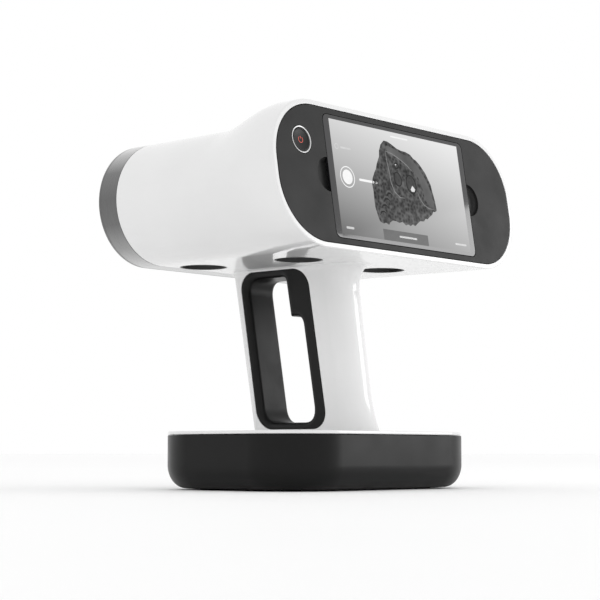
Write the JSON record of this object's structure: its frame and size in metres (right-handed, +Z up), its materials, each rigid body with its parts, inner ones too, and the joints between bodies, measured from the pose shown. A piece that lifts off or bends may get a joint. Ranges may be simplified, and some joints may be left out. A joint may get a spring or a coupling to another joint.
{
  "type": "handheld scanner",
  "caption": "Handheld 3-D scanner with a wide pill-shaped head, touch display at the back, leaning finger-loop handle and a battery pack that is also its stand.",
  "frame": {"origin": "on the ground under the centre of the scanner's bounding box", "axes": "+Z up, +Y the way the scanner looks, away from the display, +X to the right of a user who faces the display"},
  "size_m": [0.2308, 0.161, 0.2287],
  "materials": {
    "shell_white": "high-gloss white moulded plastic",
    "grip_black": "satin black soft-touch moulding",
    "base_black": "satin black moulded plastic",
    "bezel_grey": "satin dark grey moulded plastic",
    "button_black": "smooth black",
    "inner_black": "matt black",
    "ring_aluminium": "brushed and anodised",
    "plain_aluminium": "machined",
    "steel": "plain",
    "brass": "plain",
    "window_glass": "dark polished glass",
    "lens_glass": "coated lens",
    "screen": "lit display panel",
    "circuit_board": "green solder mask",
    "cell_wrap": "blue shrink wrap",
    "rubber": "matt black rubber",
    "diffuser": "frosted white"
  },
  "bodies": {
    "scanner": {"head_shell": "shell_white", "handle_shell": "shell_white", "foot_plate": "shell_white", "front_ring": "ring_aluminium", "front_window": "window_glass", "rear_bezel": "bezel_grey", "display_glass": "window_glass", "display_panel": "screen", "display_bracket": "plain_aluminium", "display_board": "circuit_board", "power_button_ring": "ring_aluminium", "power_switch": "inner_black", "optical_frame": "plain_aluminium", "flash_board": "circuit_board", "flash_diffuser_left": "diffuser", "flash_diffuser_right": "diffuser", "scan_camera_left": "inner_black", "scan_camera_right": "inner_black", "texture_camera": "inner_black", "pattern_projector": "inner_black", "scan_lens_left": "lens_glass", "scan_lens_right": "lens_glass", "texture_lens": "lens_glass", "projector_lens": "lens_glass", "chassis_plate": "plain_aluminium", "main_board": "circuit_board", "heat_sink": "plain_aluminium", "vent_grille_rear_left": "inner_black", "vent_grille_rear_right": "inner_black", "vent_grille_front_left": "inner_black", "vent_grille_front_right": "inner_black", "fan_frame_left": "inner_black", "fan_frame_right": "inner_black", "grip_loop": "grip_black", "trigger_switch": "inner_black", "handle_spine": "steel", "power_cable": "rubber", "battery_rail": "plain_aluminium", "rail_connector": "brass"},
    "power_button": {"power_button": "button_black"},
    "trigger": {"trigger": "grip_black"},
    "fan_left": {"fan_rotor_left": "inner_black"},
    "fan_right": {"fan_rotor_right": "inner_black"},
    "battery_pack": {"battery_casing": "base_black", "battery_lid": "base_black", "battery_cell_1": "cell_wrap", "battery_cell_2": "cell_wrap", "battery_cell_3": "cell_wrap", "battery_cell_4": "cell_wrap", "battery_board": "circuit_board", "battery_contacts": "brass", "casing_screw_front_left": "steel", "casing_screw_front_right": "steel", "casing_screw_rear_left": "steel", "casing_screw_rear_right": "steel", "foot_front_left": "rubber", "foot_front_right": "rubber", "foot_rear_left": "rubber", "foot_rear_right": "rubber"},
    "battery_latch": {"battery_latch": "button_black"}
  },
  "joints": [
    {"name": "power_button_press", "type": "slide", "parent": "scanner", "child": "power_button", "axis": [0, 0.9881, -0.154], "range_m": [0, 0.0008], "stiffness_N_per_m": 1500},
    {"name": "trigger_pull", "type": "slide", "parent": "scanner", "child": "trigger", "axis": [0, -0.9855, 0.1695], "range_m": [0, 0.002], "stiffness_N_per_m": 1500},
    {"name": "fan_left_spin", "type": "hinge", "parent": "scanner", "child": "fan_left", "pos_m": [-0.04005, -0.0239, 0.1502], "axis": [0, 0, 1], "continuous": true},
    {"name": "fan_right_spin", "type": "hinge", "parent": "scanner", "child": "fan_right", "pos_m": [0.04005, -0.0239, 0.1502], "axis": [0, 0, 1], "continuous": true},
    {"name": "battery_slide", "type": "slide", "parent": "scanner", "child": "battery_pack", "axis": [0, -1, 0], "range_m": [0, 0.09]},
    {"name": "battery_latch_press", "type": "slide", "parent": "battery_pack", "child": "battery_latch", "axis": [0, -1, 0], "range_m": [0, 0.002], "stiffness_N_per_m": 1500}
  ]
}
